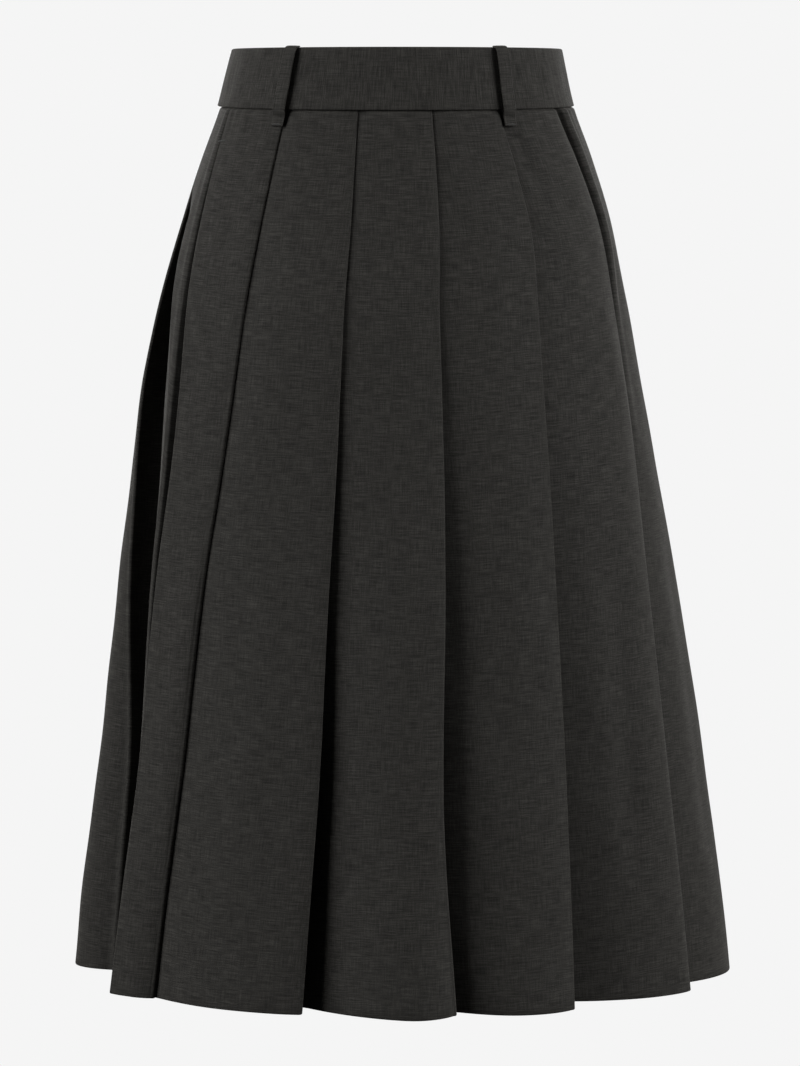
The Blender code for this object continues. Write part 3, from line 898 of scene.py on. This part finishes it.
front_starts = joined(front_runs, rows)[2]
front_side = np.interp(np.arange(front_starts[-1]), front_starts[1:3] - 1, [-1.0, 1.0])
front_panel, front_lengths = panel("front_panel", front_runs, rows, front_side)
back_right_panel, back_right_lengths = panel("back_right_panel", right_runs, rows)
back_left_panel, back_left_lengths = panel("back_left_panel", left_runs, rows)

# %% [markdown]
# ## The waistband
#
# A waistband is a strip folded in half along its top, with the seam allowance turned up at the bottom of
# the outside. So it is one profile, from that turned allowance round the bottom fold, up the outside, over
# the top and down the inside, carried round the oval. It overhangs the panels a little, which leaves the
# thin dark line of the seam. A sewn strip is never quite even, so slow waves go round it.

# %% The band's profile
BAND_FACE = 0.0005
BAND_LINING = -0.0018
BAND_CLOTH = 0.0007
ALLOWANCE = 0.007  # what is turned up inside the foot
FOOT_ROLL = 0.00055
CROWN = 0.0003


def band_profile():
    """(level, extra height, out) along the folded strip: level is 0 at the band's foot and 1 at its top."""
    radius = 0.5 * (BAND_FACE - BAND_LINING)
    lift = np.linspace(ALLOWANCE, FOOT_ROLL, 4)
    foot = np.linspace(np.pi, 0, 8)[1:-1]
    rise = np.linspace(0, 1, 16)
    crown = CROWN * np.sin(np.pi * rise) ** 0.8
    over = np.linspace(0, np.pi, 12)[1:-1]
    fall = np.linspace(1, 0, 8)
    level = np.concatenate([0 * lift, 0 * foot, rise, 1 + 0 * over, fall])
    extra = [lift, FOOT_ROLL - FOOT_ROLL * np.sin(foot)]
    extra += [FOOT_ROLL * (1 - rise) - radius * rise, radius * (np.sin(over) - 1), -radius * fall]
    out = [BAND_FACE - 2 * FOOT_ROLL + 0 * lift, BAND_FACE + FOOT_ROLL * (np.cos(foot) - 1)]
    out += [BAND_FACE + crown, BAND_LINING + radius * (1 + np.cos(over)), BAND_LINING + 0 * fall]
    return level, np.concatenate(extra), np.concatenate(out)


print("the folded strip's profile has", len(band_profile()[0]), "points")

# %% The three pieces of the band
END_GAP = 0.00016
BAND_RADIUS = 0.125  # turns an angle into a place along the flat strip
TUG = 0.00022
RIPPLE = 0.00012
SEAM_RIPPLE = 0.00018
SEAM_HIGH = 0.004  # above this height over its foot the strip's turned allowance has no ripple


def band(name, start, end):
    """A stretch of the waistband: its profile carried round the oval from one angle to another.

    Its waves are sines of the angle: TUG and RIPPLE in the middle of the band, and SEAM_RIPPLE at its foot.
    """
    level, extra, out = (values[:, None] for values in band_profile())
    angle = np.linspace(start, end, max(24, round((end - start) / 1.2)))
    end_gap = degrees(END_GAP, angle, 0.0)
    angle[0] += end_gap[0]
    angle[-1] -= end_gap[-1]
    dip = BACK_DIP * level * (0.5 - 0.5 * np.cos(np.radians(angle)))
    z = BAND_BOTTOM + (BAND_TOP - BAND_BOTTOM) * level + extra - dip
    along = np.radians(angle) * BAND_RADIUS
    tug = TUG * np.sin(angle * 0.55) * np.sin(np.pi * level) + RIPPLE * np.sin(angle * 1.9 + 3 * level)
    wander = np.sin(angle * 3.7 + 1.6 * np.sin(angle * 0.9))
    seam = SEAM_RIPPLE * wander * (1 - level) ** 6 * (extra < SEAM_HIGH)
    points = on_body(angle, z, out + tug + seam)[::-1]
    across = walked(points, 0)
    length = float(walked(points, 1)[len(points) // 2, -1])
    print(name, points.shape, "length", round(length, 3), "cut width", round(float(across[-1].mean()), 4))
    return thicken(grid_object(name, points, across, along, panel_cloth), BAND_CLOTH), length


BAND_SIDE_SEAM = 90  # degrees from the centre front to each side seam
BAND_BACK_SEAM = FOLDS[BACK_SEAM_FOLD].edge[0]
band_front, band_front_length = band("waistband_front_cloth", -BAND_SIDE_SEAM, BAND_SIDE_SEAM)
band_right, band_right_length = band("waistband_back_right_cloth", BAND_SIDE_SEAM, BAND_BACK_SEAM)
band_left, band_left_length = band("waistband_back_left_cloth", BAND_BACK_SEAM, 360 - BAND_SIDE_SEAM)

# %% [markdown]
# ## The belt loops
#
# Each loop is a strip folded to a third of its width, so it is a flat tube. Its foot is sewn to the panel
# just below the band, and its top goes over the band's edge. The tube's cross-section is a flattened
# ring, carried along the strap's own path.

# %% The loops' path and cross-section
LOOPS = (
    ("belt_loop_front_left", -38.8, -39.4),
    ("belt_loop_front_right", 38.1, 38.0),
    ("belt_loop_back_right", 139.0, 140.0),
    ("belt_loop_back_left", 221.0, 220.0),
)
LOOP_WIDTH = 0.0108
LOOP_CLOTH = 0.0005
LOOP_HALF = 0.00042
LOOP_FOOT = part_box("belt_loop_front_left")[0].z
# The strap's middle line as (out, height): heights over the band's top edge, then heights in the frame
LOOP_OVER = ((-0.0018, 0.0010), (0.0006, 0.0011), (0.0030, 0.0004), (0.0046, -0.0026), (0.0051, -0.0080))
LOOP_DOWN = ((0.0052, -0.0060), (0.0050, -0.0215), (0.0040, -0.0268), (0.0019, -0.0310), (0.0014, -0.0350))
LOOP_END = (0.0013, LOOP_FOOT + 0.0004)


def loop_path(angle):
    """The strap's middle line: over the band's top, down clear of it and in to its foot."""
    top = BAND_TOP - BACK_DIP * (0.5 - 0.5 * math.cos(math.radians(angle)))
    places = np.array([*((out, top + height) for out, height in LOOP_OVER), *LOOP_DOWN, LOOP_END])
    reach = np.concatenate([[0], np.cumsum(np.linalg.norm(np.diff(places, axis=0), axis=1))])
    at = np.linspace(0, reach[-1], 70)
    return np.stack([smooth(-at, -reach, places[:, 0]), smooth(-at, -reach, places[:, 1])], axis=-1)


def belt_loop(name, top_angle, foot_angle):
    """A flattened ring (half width w, half thickness t) carried along the path.

    With c = cos(turn) and s = sin(turn), a point is w sign(c)|c|^0.35 across and t sign(s)|s|^0.6 out, less
    a shallow groove beside each edge where the strip was pressed.
    """
    path = loop_path(top_angle)
    ahead = np.gradient(path, axis=0)
    ahead /= np.linalg.norm(ahead, axis=1, keepdims=True)
    turn = np.linspace(0, 2 * np.pi, 40, endpoint=False)
    c, s = np.cos(turn), np.sin(turn)
    wide = (LOOP_WIDTH / 2 - LOOP_CLOTH / 2) * np.sign(c) * np.abs(c) ** 0.35
    pressed = 1 - 0.35 * np.exp(-(((np.abs(wide) / (LOOP_WIDTH / 2) - 0.72) / 0.09) ** 2)) * (s > 0)
    thick = LOOP_HALF * np.sign(s) * np.abs(s) ** 0.6 * pressed
    out = path[:, :1] - ahead[:, 1:] * thick
    z = path[:, 1:] + ahead[:, :1] * thick
    share = np.clip((BAND_TOP - z) / (BAND_TOP - LOOP_FOOT), 0, 1)
    angle = top_angle + (foot_angle - top_angle) * share
    points = on_body(angle + degrees(wide, angle, z), z, out)
    down = walked(points, 0)
    thing = grid_object(name + "_cloth", points, walked(points, 1), down, panel_cloth, closed=True)
    return thicken(thing, LOOP_CLOTH), float(down[-1].mean())


loops = {}
for name, top_angle, foot_angle in LOOPS:
    loops[name], loop_length = belt_loop(name, top_angle, foot_angle)
print(len(loops), "belt loops, each", round(loop_length, 4), "m long")

# %% [markdown]
# ## Bar tacks
#
# A bar tack is a short bar of close stitches that holds a strained place: the foot of each belt loop and
# the top of the left pocket. Each is a flat tube of thread, ribbed once for every stitch.

# %% The bar tacks
TACK_HALF = 0.0005
TACK_OUT = 0.00028
TACK_STITCHES = 9
TACK_THREAD = 0.00012
LOOP_TACK = (0.0016, 0.0020, 0.0084)  # height over the loop's foot, out, length
POCKET_TACK = (-64.6, -0.0520, 0.0014, 0.0105, 0.12)  # angle, height, out, length, lean


def bar_tack(name, angle, z, out, length, lean=0.0):
    """A flat ring carried along a short bar, with t from 0 to 1 along it.

    Its size goes as sin(pi t)^0.3, and the n stitches rib it by 1 + 0.3 cos(2 pi n t).
    """
    t = np.linspace(0.01, 0.99, 8 * TACK_STITCHES + 1)[:, None]
    turn = np.linspace(0, 2 * np.pi, 10, endpoint=False)
    size = np.sin(np.pi * t) ** 0.3
    rib = 1 + 0.3 * np.cos(2 * np.pi * TACK_STITCHES * t)
    along = (t - 0.5) * length
    points = on_body(
        angle + degrees(along, angle, z),
        z + TACK_HALF * size * np.cos(turn) + lean * along,
        out + TACK_OUT * size * rib * np.sin(turn),
    )
    return thicken(grid_object(name, points, along, 0.0 * turn, thread), TACK_THREAD)


above, *size = LOOP_TACK
tacks = [bar_tack(name + "_tack", foot, LOOP_FOOT + above, *size) for name, _, foot in LOOPS]
tacks.append(bar_tack("left_pocket_tack", *POCKET_TACK))
for piece in tacks:
    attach(piece, "root")
print(len(tacks), "bar tacks")

# %% [markdown]
#
# Every piece rides on the one body of the imported model. The panels, the band and the loops stand for
# their solids, which are hidden. The panels' and the band's lengths along the cloth are kept with them here.

# %% Ride and replace
PANELS = (
    (front_panel, "skirt_front", front_lengths),
    (back_right_panel, "skirt_back_right", back_right_lengths),
    (back_left_panel, "skirt_back_left", back_left_lengths),
)
BANDS = (
    (band_front, "waistband_front", band_front_length),
    (band_right, "waistband_back_right", band_right_length),
    (band_left, "waistband_back_left", band_left_length),
)


def stand_for(piece, node):
    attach(piece, "root")
    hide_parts(node)


for piece, node, lengths in PANELS:
    stand_for(piece, node)
for piece, node, length in BANDS:
    stand_for(piece, node)
for node, piece in loops.items():
    stand_for(piece, node)
print(len(PANELS) + len(BANDS) + len(loops), "sheets declared")

# %% [markdown]
# ## Floor and light
#
# A pale sweep runs all round the skirt, well below its hem, so every side has the same backdrop. It glows
# by itself and lights nothing, so it stays even. Two softboxes stand left and right of the camera: a
# pleat's folded edge shades the start of the next face from the left one, and the right one reaches into
# the pleats on its own side. Two weaker ones light the back and the sides of the skirt.

# %% The pale sweep
FLOOR = HEM - 0.42
PAPER = 0.913  # strength of the glow
ROOM = 9.0  # radius of the flat floor, and height of the wall
BEND = 2.0
PINHOLE = 0.0005  # left open in the middle of the floor


def sweep():
    """A round floor that curves up into a wall: a profile of (radius, height) turned about Z."""
    turn = np.linspace(0, np.pi / 2, 16)
    radius = np.concatenate([[PINHOLE, 3.0], ROOM + BEND * np.sin(turn), [ROOM + BEND]])
    height = np.concatenate([[0.0, 0.0], BEND - BEND * np.cos(turn), [ROOM]])
    around = np.linspace(0, 2 * np.pi, 96, endpoint=False)
    radius, height = radius[:, None], FLOOR + height[:, None]
    points = np.stack([radius * np.cos(around), radius * np.sin(around), height + 0 * around], axis=-1)
    material, _, shader = new_material("pale_paper")
    set_inputs(shader, {"Base Color": (0, 0, 0, 1), "Roughness": 1.0, "Specular IOR Level": 0.0})
    set_inputs(shader, {"Emission Color": (1, 1, 1, 1), "Emission Strength": PAPER})
    paper = grid_object("pale_sweep", points, 0.0, 0.0, material, closed=True)
    paper.visible_diffuse = False
    paper.visible_glossy = False
    return paper


sweep()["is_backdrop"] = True
print("sweep of radius", ROOM + BEND, "m, its floor at", round(FLOOR, 3))

# %% Lights
MIDDLE = (0.0, 0.0, -0.36)
# name, place, size, power in watts
LIGHTS = (
    ("left_softbox", (-3.55, -1.35, 1.2), (3.0, 2.4), 160),
    ("right_softbox", (3.55, -1.35, 1.0), (2.6, 2.4), 148),
    ("back_left_softbox", (-2.3, 3.1, 1.2), (2.4, 2.4), 68),
    ("back_right_softbox", (2.3, 3.1, 1.0), (2.4, 2.4), 68),
)
WORLD_LIGHT = 0.03


def soft_light(name, place, size, power):
    """A rectangular area light that faces the middle of the skirt and isn't seen itself."""
    data = bpy.data.lights.new(name, "AREA")
    data.shape = "RECTANGLE"
    data.size, data.size_y = size
    data.energy = power
    thing = bpy.data.objects.new(name, data)
    thing.location = place
    x, y, z = np.subtract(MIDDLE, place)
    thing.rotation_euler = (math.atan2(math.hypot(x, y), -z), 0.0, math.atan2(y, x) - math.pi / 2)
    thing.visible_camera = False
    bpy.context.scene.collection.objects.link(thing)


for row in LIGHTS:
    soft_light(*row)
world = bpy.data.worlds.new("studio")
world.use_nodes = True
set_inputs(world.node_tree.nodes["Background"], {"Color": (1, 1, 1, 1), "Strength": WORLD_LIGHT})
bpy.context.scene.world = world
print(len(LIGHTS), "softboxes, all aimed at", MIDDLE)

# %% Sizes
new_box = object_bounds()
for side, axis in enumerate("xyz"):
    grown = [round((new_box[end][side] - cad_box[end][side]) / MM, 2) for end in (0, 1)]
    print(axis, "goes past the packed model by", grown, "mm")
